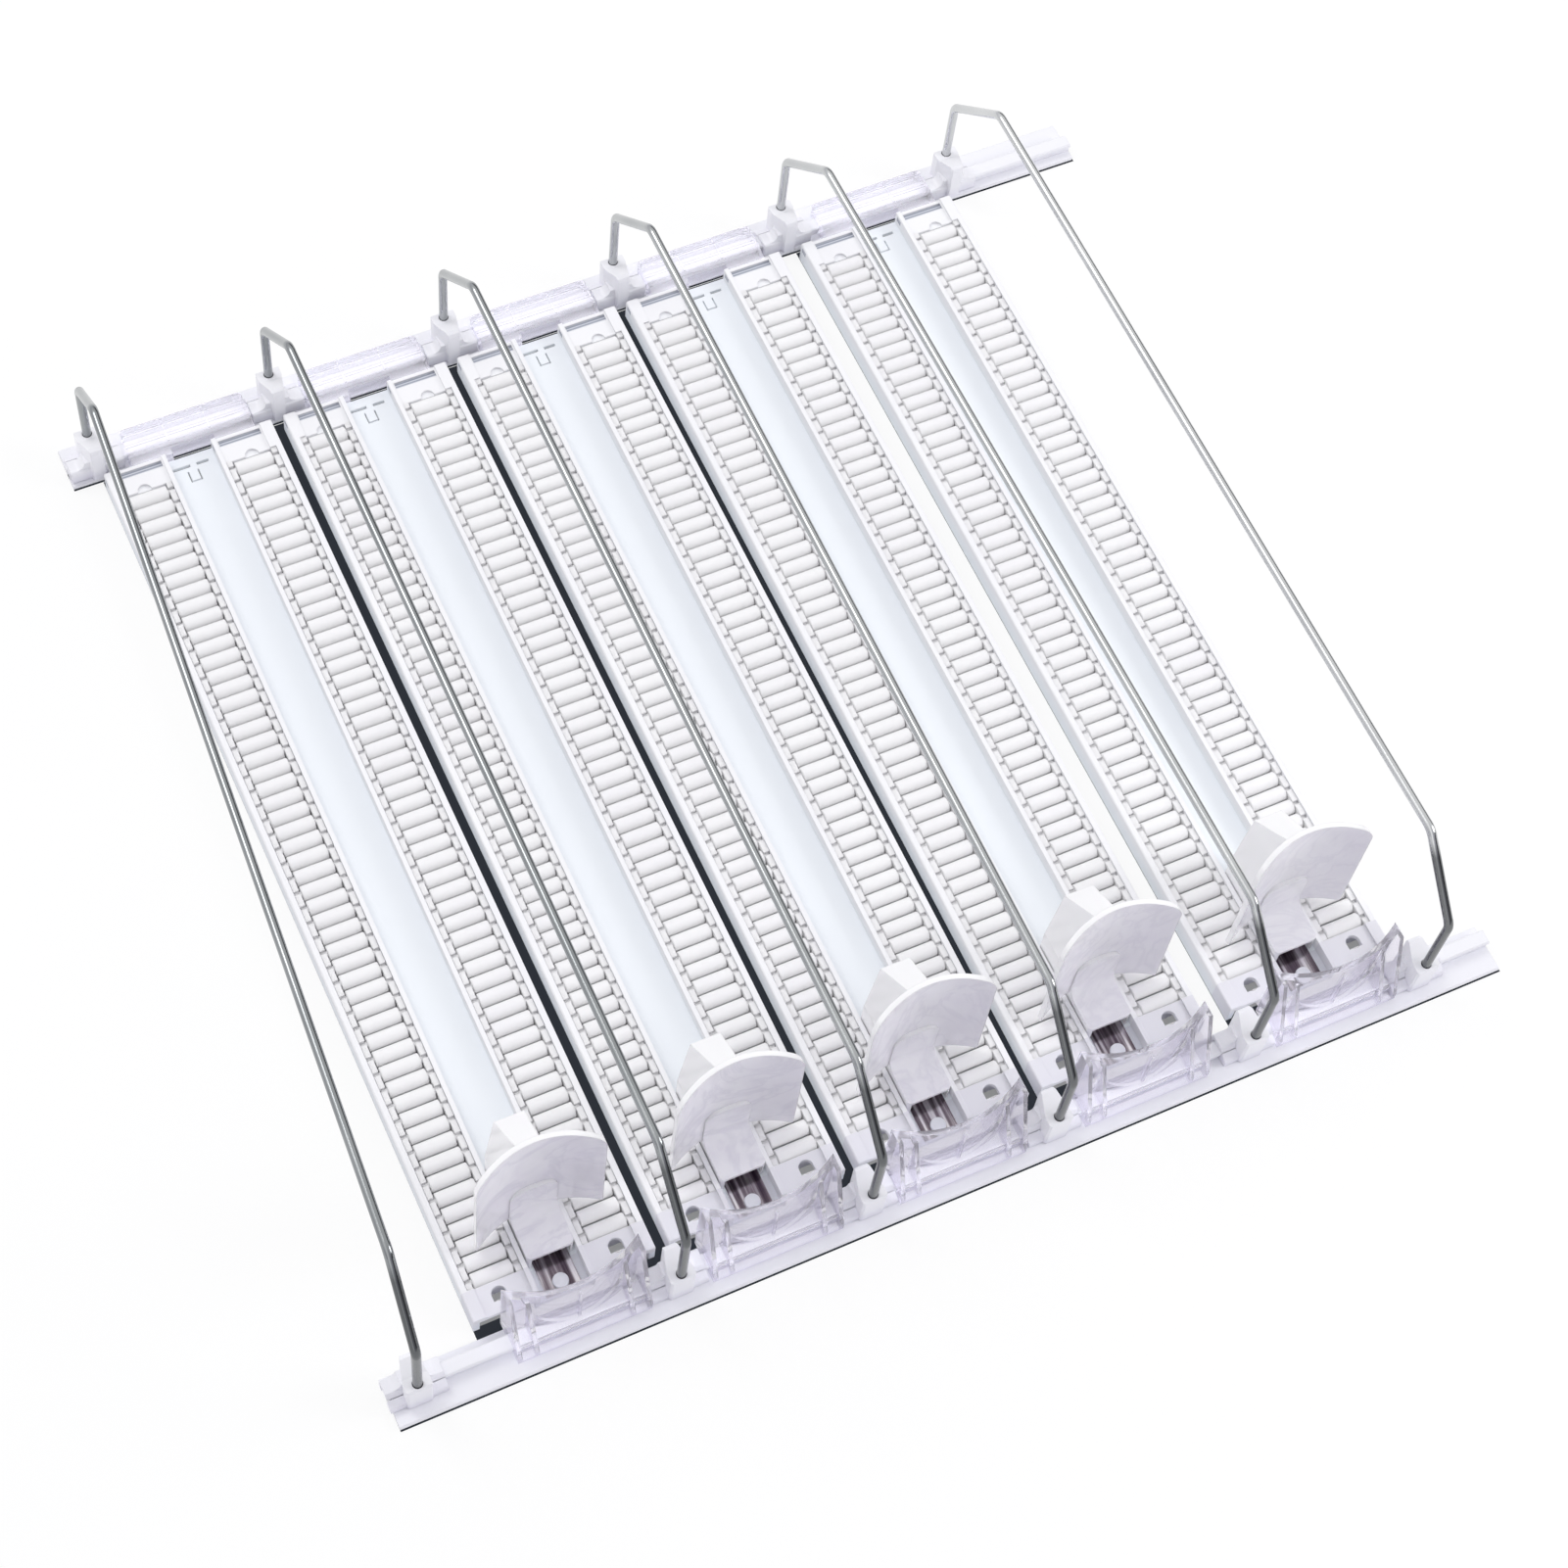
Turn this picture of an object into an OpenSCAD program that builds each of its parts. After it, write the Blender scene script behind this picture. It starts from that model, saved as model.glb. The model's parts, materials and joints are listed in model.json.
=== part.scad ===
// Fridge can organizer: five roller tracks between two rails, each with a
// spring pusher, a clear front stop and a clear rear clip, and six wire
// dividers whose feet clip onto the rails.
// Millimetres. X runs across the lanes, Y from the front to the back, Z up.
// The origin lies on the shelf, halfway between the two staggered rails.

/* [Rails] */
// Length of a rail beyond its five lanes
rail_ends = 66.2; // [60:0.1:120]
// How far the back rail sits to the right of the front rail
rail_stagger = 23.8; // [0:0.1:30]
// How far the rails' common middle sits to the right of the origin
rails_right = 0.45; // [0:0.05:1]
// Depth of a rail from its outer to its inner edge
rail_depth = 18; // [17:0.5:22]
// Thickness of a rail's flanges and web
rail_wall = 1.6; // [1.2:0.1:2]
// Distance from the outer edge to the rib that the clips hold
rail_rib_offset = 9.2; // [8.5:0.1:10]
// Width of the rib
rail_rib_width = 5.6; // [5:0.1:6.4]
// Height of the rib above the shelf
rail_rib_height = 6; // [5.2:0.1:6.6]
// Undercut below the rib's head, where the clips snap in
rail_undercut = 0.6; // [0.4:0.1:0.8]

/* [Lanes] */
// Least distance between the middles of neighbouring lanes
lane_pitch = 71.8; // [71.8:0.1:76]
// Least room between neighbouring tracks
track_gap = 5; // [5:0.1:8]
// Extra room between the fourth and the fifth lane
last_lane_room = 4.8; // [3:0.1:8]
// How far the middle lane sits to the left of the origin
lanes_left = 14.25; // [10:0.05:15]
// Length of a track along Y
track_length = 363; // [300:1:420]
// Width of a track
track_width = 66.8; // [64:0.1:68]
// Height of a track above the shelf
track_height = 9.5; // [9:0.1:11]
// Room between a track's end and the rail beside it
rail_room = 3.8; // [2:0.1:6]
// Thickness of a track's outer walls
track_wall = 2.3; // [1.8:0.1:2.6]
// Thickness of the floors inside a track
track_floor = 1.6; // [1.2:0.1:2]
// Thickness of the skins over a track's hollow ends
end_skin = 2; // [1.4:0.1:2.6]
// Length of the end blocks at the front and at the back
end_block = 11; // [10:0.1:14]
// How far the end blocks' plates lie below the track's top
block_drop = 1; // [0.6:0.1:1.4]
// Width of the raised edge beside each plate
block_edge = 2.4; // [1.6:0.1:3]
// Width of the groove along the plate's back end
groove_width = 2.8; // [2:0.1:3.2]
// Distance from that groove to the track's back end
groove_place = 1.4; // [1:0.1:2]
// Width of the channel that the pusher runs in
channel_width = 18.2; // [17:0.1:19]
// Height of the channel's floor above the shelf
channel_level = 3.5; // [3:0.1:4]
// Thickness of the ribs beside the channel
channel_rib = 1.7; // [1.4:0.1:2.2]
// Width of the D-shaped hole in each end block
keyhole_width = 5.4; // [4:0.1:6]
// Distance of each D-shaped hole from the lane's middle
keyhole_offset = 21.4; // [19:0.1:23]
// Distance from the track's front end to the middle of those holes
keyhole_place = 6.4; // [5:0.1:7]
// Width of the slots at the channel's back end
latch_slot = 1.2; // [0.8:0.1:1.6]
// Distance from the track's back end to those slots
latch_slot_place = 4; // [3.4:0.1:5]
// Width of the latch tab
latch_width = 4.6; // [3:0.1:6]
// Length of the latch tab
latch_length = 5; // [4:0.1:7]
// Distance from the track's back end to the tab's root
latch_place = 7; // [6.4:0.1:9]
// Width of the cut around the tab
latch_cut = 0.6; // [0.4:0.1:1]

/* [Rollers] */
// Diameter of a roller
roller_diameter = 5.7; // [4.8:0.1:6]
// Room between neighbouring rollers
roller_room = 0.6; // [0.4:0.05:1]
// Bevel at the ends of a roller
roller_bevel = 0.25; // [0.1:0.05:0.6]
// Width of the side frames that carry the rollers
frame_width = 2.1; // [1.8:0.1:2.4]
// Diameter of a roller's axle ends
axle_diameter = 2.2; // [1.8:0.1:2.6]
// Room between a roller's end and its frame
roller_end_room = 0.6; // [0.4:0.1:1]
// Width of the snap slot over each axle
snap_slot = 1.5; // [1.1:0.1:1.7]
// How far the frames' tops lie below the rollers' tops
frame_drop = 0.5; // [0.3:0.1:1]

/* [Pusher] */
// Width of the paddle
paddle_width = 46.4; // [40:0.2:50]
// Height of the paddle's lower edge above the shelf
paddle_bottom = 12.5; // [12:0.1:14]
// Height of the paddle's top above the shelf
paddle_top = 71.5; // [60:0.5:80]
// Rise of the arched top from its corners to its middle
paddle_arch = 5; // [3:0.1:7]
// Radius of the paddle's rounded top corners
paddle_corner = 5; // [3:0.1:7]
// Radius of the hollow front face that holds the can
paddle_radius = 40; // [34:0.5:60]
// Thickness of the paddle
paddle_wall = 2; // [1.6:0.1:2.4]
// Width of the pusher's foot
foot_width = 17.4; // [16.2:0.1:17.6]
// Height of the foot's top above the shelf
foot_top = 12.3; // [12:0.1:13]
// Length of the foot in front of the paddle
foot_toe = 17.3; // [14:0.1:20]
// Length of the foot behind the paddle's face
foot_heel = 20.4; // [20.4:0.1:34]
// Thickness of the foot's skin and of the housing behind the paddle
pusher_wall = 1.6; // [1.2:0.1:1.8]
// Height where the housing meets the back of the paddle
housing_top = 62; // [50:0.5:64]
// Height of the housing's back wall above the shelf
housing_back = 48; // [36:0.5:54]
// Width of the housing's ridge
housing_ridge = 8; // [6:0.1:12]
// Height up to which the housing's sides stand upright
housing_upright = 20; // [19.6:0.1:26]
// Height of the stem in front of the paddle
stem_top = 34; // [26:0.5:44]
// How far the stem stands out from the paddle's face
stem_depth = 1.6; // [1.2:0.1:2.4]
// Radius of the stem's corners and of the fillet at its foot
stem_corner = 5; // [3:0.1:7]
// Distance from the track's front end to the toe, at rest
toe_place = 11.8; // [10:0.1:30]
// Outer diameter of the coiled spring band
coil_diameter = 15; // [12:0.1:15.6]
// Diameter of the coil's inside
coil_bore = 8; // [5:0.1:9]
// Width of the spring band
band_width = 13; // [11:0.1:13.4]
// Thickness of the spring band
band_thickness = 0.3; // [0.2:0.05:0.4]
// Diameter of the boss that holds the band's front end
boss_diameter = 5.5; // [4.5:0.1:6]
// Distance of the boss from the track's front end
boss_place = 3.6; // [3.4:0.1:5]

/* [Front stop] */
// Width of the stop
stop_width = 49.2; // [46:0.1:49.6]
// Height of the stop's top above the shelf
stop_top = 36; // [30:0.5:44]
// Radius of the curved wall, at its front face
stop_radius = 47; // [40:0.5:60]
// Thickness of the curved wall
stop_wall = 2.8; // [2.4:0.1:3.2]
// Depth of the scoop in the wall's front face
scoop_depth = 1.1; // [0.8:0.1:1.4]
// Radius of the scoop's round bottom
scoop_radius = 17; // [14:0.5:19]
// Thickness of the ribs between the wall and the base
stop_rib = 1.6; // [1.2:0.1:2]
// Distance from the rail's outer edge to the wall's nearest point
stop_wall_place = 10.2; // [9:0.1:11]
// Distance from the rail's outer edge to the front of every clip
clip_front = 4.8; // [3.5:0.1:6]
// Depth from the wall's nearest point to the back of its end ribs
stop_rib_depth = 8; // [6:0.1:9]
// Distance between each end rib and the rib inside it
stop_rib_step = 6.2; // [4:0.1:9]
// How far each stop sits to the right of its lane's middle
stop_shifts = [0.4, 0.6, 0, 1.2, 2.4];

/* [Rear clip] */
// Width of the rear clip
rear_clip_width = 49; // [46:0.1:49.4]
// Height of the rear clip's top above the shelf
rear_clip_top = 9.4; // [8.8:0.1:10]
// Width of the notch in the clip's inner edge
rear_notch_width = 17; // [12:0.5:20]
// Depth of that notch
rear_notch_depth = 2.4; // [1:0.1:3]
// How far each rear clip sits to the right of its lane's middle
rear_clip_shift = 2.6; // [1:0.1:2.8]

/* [Dividers] */
// Diameter of the divider wire
wire_diameter = 3.4; // [3:0.1:4]
// Height of the rod's middle line above the shelf
wire_height = 76.5; // [60:0.5:90]
// Height of the knees at the front
knee_height = 49.5; // [40:0.5:54]
// Depth of the slope between the front knee and the rod
front_slope = 26.6; // [20:0.1:34]
// Height of the knee at the back
back_knee_height = 46; // [40:0.5:54]
// Depth of the slope between the rod and the back knee
back_slope = 30.5; // [24:0.1:36]
// Bending radius of the wire's middle line
wire_bend = 6; // [5:0.1:8]
// Distance from the rail's outer edge to a wire's leg
leg_place = 7.4; // [7:0.1:8.4]
// Height of a foot above the shelf where it holds the wire
clip_foot_top = 17.5; // [15:0.1:20]
// Height of a foot's inner end above the shelf
foot_inner_top = 20; // [17:0.1:24]
// Width of a foot's base
clip_foot_width = 20.8; // [19:0.1:21]
// Width of a foot's ridge at its outer end
ridge_width = 9.4; // [8:0.1:11.6]
// Width of a foot's ridge at its inner end
ridge_inner_width = 4.6; // [4:0.1:8]
// Height of a foot's shoulders above the shelf
shoulder_top = 8; // [7.8:0.1:8.4]
// How far each front foot sits to the right of the gap beside its lane
front_foot_shifts = [-23.2, 0.2, 0.3, 0.7, 3, 1.9];
// How far each back foot sits to the right of the gap beside its lane
back_foot_shifts = [1.9, 2.6, 2.8, 2.8, -0.6, 1.8];

/* [Fits] */
// Clearance between clips and rails, tongues and tracks, wires and feet
clip_gap = 0.2; // [0.1:0.05:0.3]
// Room in all beside a foot that stands between two clips
foot_room = 1.8; // [1.8:0.1:4]
// Clearance around what slides
slide_gap = 0.3; // [0.3:0.05:0.5]

/* [Hidden] */
$fn = 48;
clips_pitch = max(stop_width, rear_clip_width) + clip_foot_width + foot_room;
pitch = max(lane_pitch, track_width + track_gap, clips_pitch);
lane_x = [
  -2 * pitch - lanes_left,
  -pitch - lanes_left,
  -lanes_left,
  pitch - lanes_left,
  2 * pitch + last_lane_room - lanes_left
];
gap_x = [for (i = [0:5]) i < 5 ? lane_x[i] - pitch / 2 : lane_x[4] + pitch / 2];
front_foot_x = gap_x + front_foot_shifts;
back_foot_x = gap_x + back_foot_shifts;
rail_length = 5 * pitch + last_lane_room + rail_ends;
half_track = track_length / 2;
rail_inner_y = half_track + rail_room;
rail_outer_y = rail_inner_y + rail_depth;
rib_end = rail_rib_offset + rail_rib_width;
pocket_in = channel_width / 2 + channel_rib;
pocket_out = track_width / 2 - track_wall;
pocket_width = pocket_out - pocket_in;
pocket_middle = (pocket_out + pocket_in) / 2;
roller_pitch = roller_diameter + roller_room;
roller_count = floor((track_length - 2 * end_block) / roller_pitch);
roller_zone = roller_count * roller_pitch;
strip_width = pocket_width - 2 * clip_gap;
strip_start = -half_track + end_block;
roller_level = track_height - roller_diameter / 2;
back_block_start = strip_start + roller_zone;
strip_floor = track_floor;
strip_top = track_height - frame_drop;
roller_length = strip_width - 2 * frame_width - 2 * roller_end_room;
paddle_face = -half_track + toe_place + foot_toe;
plate_top = track_height - block_drop;
stem_face = paddle_face - stem_depth;
coil_level = channel_level + band_thickness + slide_gap + coil_diameter / 2;
coil_place = foot_heel - pusher_wall - slide_gap - coil_diameter / 2 + paddle_face;
foot_floor = channel_level + slide_gap;
tongue_in = 5;
tongue_from = pocket_in + max(rear_clip_shift, max(stop_shifts)) + 1.2;
tongue_to = min(stop_width, rear_clip_width) / 2 - 1;
clip_skin = 1.6;
bend_lap = 0.3;
bend_swell = 0.02;
seat = rail_wall + clip_gap;
rib_cover = rail_rib_height + clip_gap;
hook_top = rail_rib_height - rail_wall - rail_undercut - 1.5 * clip_gap;
white = [0.95, 0.95, 0.97];
clear = [0.8, 0.84, 0.92, 0.45];
steel = [0.55, 0.57, 0.6];
wire_grey = [0.5, 0.53, 0.57];

// Placing helpers

module at_lane(i) {
  translate([lane_x[i - 1], 0, 0]) children();
}

// Turns a shape drawn in rail places (x, distance from the outer edge, z)
// so that it sits on the front rail.
module on_front_rail(x) {
  translate([x, -rail_outer_y, 0]) children();
}

module on_back_rail(x) {
  translate([x, rail_outer_y, 0]) rotate([0, 0, 180]) children();
}

// Extrudes a (y, z) profile along X, centred.
module along_x(width) {
  translate([-width / 2, 0, 0])
    rotate([90, 0, 90])
      linear_extrude(height = width) children();
}

// Extrudes an (x, z) profile from y = start over length.
module along_y(start, length) {
  translate([0, start + length, 0])
    rotate([90, 0, 0])
      linear_extrude(height = length) children();
}

// Rails

module rail_section() {
  hollow = rail_rib_width - 2 * rail_wall;
  head = rail_wall;
  polygon([
    [0, 0],
    [rail_rib_offset + rail_wall, 0],
    [rail_rib_offset + rail_wall, rail_rib_height - rail_wall],
    [rail_rib_offset + rail_wall + hollow, rail_rib_height - rail_wall],
    [rail_rib_offset + rail_wall + hollow, 0],
    [rail_depth, 0],
    [rail_depth, rail_wall],
    [rib_end - rail_undercut, rail_wall],
    [rib_end - rail_undercut, rail_rib_height - head - rail_undercut],
    [rib_end, rail_rib_height - head],
    [rib_end, rail_rib_height - 0.5],
    [rib_end - 0.5, rail_rib_height],
    [rail_rib_offset + 0.5, rail_rib_height],
    [rail_rib_offset, rail_rib_height - 0.5],
    [rail_rib_offset, rail_rib_height - head],
    [rail_rib_offset + rail_undercut, rail_rib_height - head - rail_undercut],
    [rail_rib_offset + rail_undercut, rail_wall],
    [0.5, rail_wall],
    [0, rail_wall - 0.5]
  ]);
}

module rail() {
  along_x(rail_length) rail_section();
}

// Space that the rail and the clearance around it take from a clip. What is
// left of the clip under the rib's head holds it down.
module rail_space(width) {
  hook = rail_undercut - clip_gap;
  along_x(width)
    polygon([
      [-1, -1],
      [-1, seat],
      [rail_rib_offset + hook, seat],
      [rail_rib_offset + hook, hook_top],
      [rail_rib_offset - clip_gap, hook_top + rail_undercut],
      [rail_rib_offset - clip_gap, rib_cover],
      [rib_end + clip_gap, rib_cover],
      [rib_end + clip_gap, hook_top + rail_undercut],
      [rib_end - hook, hook_top],
      [rib_end - hook, seat],
      [rail_depth + clip_gap, seat],
      [rail_depth + clip_gap, -1]
    ]);
}

// Track

module keyhole(depth) {
  r = keyhole_width / 2;
  linear_extrude(height = depth) {
    circle(r = r);
    translate([-r, -r + 0.4]) square([2 * r, r - 0.4]);
  }
}

// Cross-section of the track between its end blocks.
module track_section() {
  half = track_width / 2;
  polygon([
    [-half, 0],
    [-half, track_height - 0.4],
    [-half + 0.4, track_height],
    [-pocket_out, track_height],
    [-pocket_out, track_floor],
    [-pocket_in, track_floor],
    [-pocket_in, track_height],
    [-channel_width / 2, track_height],
    [-channel_width / 2, channel_level],
    [channel_width / 2, channel_level],
    [channel_width / 2, track_height],
    [pocket_in, track_height],
    [pocket_in, track_floor],
    [pocket_out, track_floor],
    [pocket_out, track_height],
    [half - 0.4, track_height],
    [half, track_height - 0.4],
    [half, 0],
    [pocket_in, 0],
    [pocket_in - channel_rib, channel_level - track_floor],
    [channel_rib - pocket_in, channel_level - track_floor],
    [-pocket_in, 0]
  ]);
}

// Lowered plate with a raised outer edge over one side of a hollow end block.
module end_block_plate(start, length) {
  translate([pocket_in, start, plate_top - end_skin])
    cube([pocket_width, length, end_skin]);
  translate([pocket_out - block_edge, start, plate_top - end_skin])
    cube([block_edge, length, end_skin + block_drop]);
}

// Slot in the channel's floor near the track's back end.
module floor_slot(from, to, start, width) {
  translate([from, start, -1]) cube([to - from, width, channel_level + 2]);
}

module track() {
  back_block = half_track - back_block_start;
  plate_width = pocket_width - block_edge;
  groove_inset = 0.6;
  slot_start = half_track - latch_slot_place - latch_slot;
  tab_start = half_track - latch_place - latch_length;
  tab_left = -0.7 * latch_width;
  difference() {
    union() {
      along_y(-half_track, track_length) track_section();
      for (side = [-1, 1]) {
        mirror([side < 0 ? 1 : 0, 0, 0]) {
          end_block_plate(-half_track, end_block);
          end_block_plate(back_block_start, back_block);
          translate([pocket_in, strip_start - track_floor, 0])
            cube([pocket_width, track_floor, plate_top]);
          translate([pocket_in, back_block_start, 0])
            cube([pocket_width, track_floor, plate_top]);
        }
      }
      translate([0, -half_track + boss_place, channel_level - 0.5])
        cylinder(d = boss_diameter, h = 1.7);
    }
    for (side = [0, 1])
      mirror([side, 0, 0]) {
        // Hollow ends under the plates, open to the outside
        translate([pocket_in, -half_track - 1, -1])
          cube([pocket_width, end_block - track_floor + 1, plate_top - end_skin + 1]);
        translate([pocket_in, back_block_start + track_floor, -1])
          cube([pocket_width, back_block - track_floor + 1, plate_top - end_skin + 1]);
        // Groove along the back end
        translate([
          pocket_in + groove_inset,
          half_track - groove_place - groove_width,
          plate_top - block_drop
        ])
          cube([plate_width - 2 * groove_inset, groove_width, block_drop + 1]);
        translate([keyhole_offset, -half_track + keyhole_place, plate_top - end_skin - 1])
          keyhole(end_skin + 2);
        // Half-round notch beside the last roller
        translate([keyhole_offset, back_block_start, plate_top - block_drop])
          cylinder(d = keyhole_width, h = block_drop + 1);
      }
    // Slots and latch tab at the channel's back end
    floor_slot(1 - channel_width / 2, -1.2, slot_start, latch_slot);
    floor_slot(1.4, channel_width / 2 - 3, slot_start, latch_slot);
    floor_slot(tab_left, tab_left + latch_width, tab_start, latch_cut);
    floor_slot(tab_left, tab_left + latch_cut, tab_start, latch_length);
    floor_slot(tab_left + latch_width - latch_cut, tab_left + latch_width, tab_start, latch_length);
  }
}

// Rollers

// One side frame as seen from the side: a bar with a snap slot over each axle.
module frame_profile() {
  depth = strip_top - roller_level;
  polygon(concat(
    [[0, strip_floor], [0, strip_top]],
    [
      for (i = [0:roller_count - 1])
        for (p = [
          [-snap_slot / 2, strip_top],
          [-snap_slot / 2, strip_top - depth + axle_diameter * 0.35],
          [snap_slot / 2, strip_top - depth + axle_diameter * 0.35],
          [snap_slot / 2, strip_top]
        ])
          [(i + 0.5) * roller_pitch + p[0], p[1]]
    ],
    [[roller_zone, strip_top], [roller_zone, strip_floor]]
  ));
}

// One roller with its axle ends, along X.
module roller() {
  r = roller_diameter / 2;
  reach = strip_width / 2 - 0.4;
  rotate([0, 90, 0])
    rotate_extrude()
      polygon([
        [0, -reach],
        [axle_diameter / 2, -reach],
        [axle_diameter / 2, -roller_length / 2],
        [r - roller_bevel, -roller_length / 2],
        [r, -roller_length / 2 + roller_bevel],
        [r, roller_length / 2 - roller_bevel],
        [r - roller_bevel, roller_length / 2],
        [axle_diameter / 2, roller_length / 2],
        [axle_diameter / 2, reach],
        [0, reach]
      ]);
}

module roller_strip() {
  translate([0, strip_start, 0]) {
    for (side = [-1, 1])
      translate([side * (strip_width - frame_width) / 2, 0, 0])
        along_x(frame_width) frame_profile();
    for (i = [0:roller_count - 1])
      translate([0, (i + 0.5) * roller_pitch, roller_level]) roller();
  }
}

module strip_at(i, side) {
  at_lane(i) translate([side * pocket_middle, 0, 0]) roller_strip();
}

// Pusher

// The paddle's outline from the front: straight sides, an arched top and
// rounded corners.
module paddle_outline() {
  half = paddle_width / 2;
  arch = (half * half + paddle_arch * paddle_arch) / (2 * paddle_arch);
  centre = paddle_top - arch;
  corner_x = half - paddle_corner;
  corner_z = centre + sqrt(pow(arch - paddle_corner, 2) - corner_x * corner_x);
  lean = (corner_z - centre) / (arch - paddle_corner);
  side = corner_x / (arch - paddle_corner);
  reach = 3 * paddle_corner;
  difference() {
    intersection() {
      translate([-half, paddle_bottom]) square([paddle_width, paddle_top]);
      translate([0, centre]) circle(r = arch, $fn = 120);
    }
    for (s = [-1, 1])
      polygon([
        [s * corner_x, corner_z],
        [s * (corner_x + reach), corner_z],
        [s * (corner_x + reach), corner_z + reach],
        [s * (corner_x + reach * side), corner_z + reach * lean]
      ]);
  }
  for (s = [-1, 1])
    translate([s * corner_x, corner_z]) circle(r = paddle_corner);
}

module paddle() {
  depth = paddle_radius + paddle_wall + 1;
  intersection() {
    translate([0, paddle_face - paddle_radius, 0])
      difference() {
        cylinder(r = paddle_radius + paddle_wall, h = paddle_top + 1, $fn = 120);
        translate([0, 0, -1])
          cylinder(r = paddle_radius, h = paddle_top + 3, $fn = 120);
      }
    along_y(paddle_face - paddle_radius, depth) paddle_outline();
  }
}

// The foot's outline from above, with rounded front corners.
module foot_plan(width, length, corner) {
  translate([-width / 2, corner]) square([width, length - corner]);
  translate([-width / 2 + corner, 0]) square([width - 2 * corner, length]);
  for (s = [-1, 1])
    translate([s * (width / 2 - corner), corner]) circle(r = corner);
}

// The closed housing behind the paddle, smaller on all sides by inset: it
// narrows to a ridge, which falls from the paddle to the back wall.
module housing(inset) {
  front = paddle_face + (inset > 0 ? paddle_wall + 1 : paddle_wall / 4);
  back = paddle_face + foot_heel - inset;
  roof = 1.3 * inset;
  half = foot_width / 2 - inset;
  ridge = housing_ridge / 2 - inset;
  bottom = foot_floor - inset;
  intersection() {
    along_x(foot_width)
      polygon([
        [front, bottom],
        [front, housing_top - roof],
        [paddle_face + paddle_wall + 1, housing_top - roof],
        [back, housing_back - roof],
        [back, bottom]
      ]);
    along_y(front - 1, back - front + 2)
      polygon([
        [-half, bottom],
        [-half, housing_upright],
        [-ridge, housing_top],
        [ridge, housing_top],
        [half, housing_upright],
        [half, bottom]
      ]);
  }
}

// The flat stem in front of the paddle, with a hollow fillet at its foot.
module stem() {
  along_y(stem_face, stem_depth + 0.5)
    translate([0, stem_top])
      mirror([0, 1, 0])
        foot_plan(foot_width, stem_top - foot_top + 1, stem_corner);
  difference() {
    translate([-foot_width / 2, stem_face - stem_corner, foot_top - 0.5])
      cube([foot_width, stem_corner + 0.5, stem_corner + 0.5]);
    translate([0, stem_face - stem_corner, foot_top + stem_corner])
      rotate([0, 90, 0])
        cylinder(r = stem_corner, h = foot_width + 2, center = true);
  }
}

module pusher() {
  length = foot_toe + foot_heel;
  inside = foot_width - 2 * pusher_wall;
  start = paddle_face - foot_toe;
  difference() {
    union() {
      translate([0, start, foot_floor])
        linear_extrude(height = foot_top - foot_floor) foot_plan(foot_width, length, 2);
      paddle();
      stem();
      housing(0);
    }
    // Inside of the foot, open below so that the band can run out
    translate([-inside / 2, start - 1, foot_floor - 1])
      cube([inside, length - pusher_wall + 1, foot_top - pusher_wall - foot_floor + 1]);
    housing(pusher_wall);
  }
  // Stub axle that the coil turns on
  translate([0, coil_place, coil_level])
    rotate([0, 90, 0])
      cylinder(d = coil_bore - 2 * slide_gap, h = foot_width - pusher_wall, center = true);
}

// The wound band: a ring, stepped at its loose outer end.
module coil_spring() {
  translate([0, coil_place, coil_level])
    rotate([0, 90, 0])
      difference() {
        union() {
          cylinder(d = coil_diameter - 2 * band_thickness, h = band_width, center = true);
          rotate([0, 0, -90])
            rotate_extrude(angle = 300)
              translate([coil_bore / 2, -band_width / 2])
                square([(coil_diameter - coil_bore) / 2, band_width]);
        }
        cylinder(d = coil_bore, h = band_width + 2, center = true);
      }
}

module spring_band() {
  start = -half_track + 0.8;
  difference() {
    translate([-band_width / 2, start, channel_level])
      cube([band_width, coil_place - start, band_thickness]);
    translate([0, -half_track + boss_place, channel_level - 1])
      cylinder(d = boss_diameter + 2 * clip_gap, h = 3);
  }
}

// Front stop, drawn in rail places

// Ring that follows the curved wall.
module stop_ring(from, to, level) {
  translate([0, stop_wall_place + stop_radius, seat])
    difference() {
      cylinder(r = stop_radius - from, h = level - seat, $fn = 160);
      translate([0, 0, -1])
        cylinder(r = stop_radius - to, h = level - seat + 2, $fn = 160);
    }
}

module stop_front_half(width) {
  translate([-width / 2, 0, 0])
    cube([width, stop_wall_place + stop_radius / 2, stop_top + 1]);
}

// The scoop's outline from the front: round below and wider at the top.
module scoop_outline() {
  centre = shoulder_top + scoop_radius;
  translate([0, centre]) circle(r = scoop_radius);
  polygon([
    [-scoop_radius, centre],
    [scoop_radius, centre],
    [scoop_radius + 3, stop_top + 1],
    [-scoop_radius - 3, stop_top + 1]
  ]);
}

// Side rib between the wall and the front of the base.
module stop_side_rib(top) {
  wall_back = stop_wall_place + stop_rib_depth;
  along_x(stop_rib)
    polygon([
      [clip_front, seat],
      [clip_front, shoulder_top - 2],
      [wall_back - 4, top],
      [wall_back, top],
      [wall_back, seat]
    ]);
}

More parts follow.
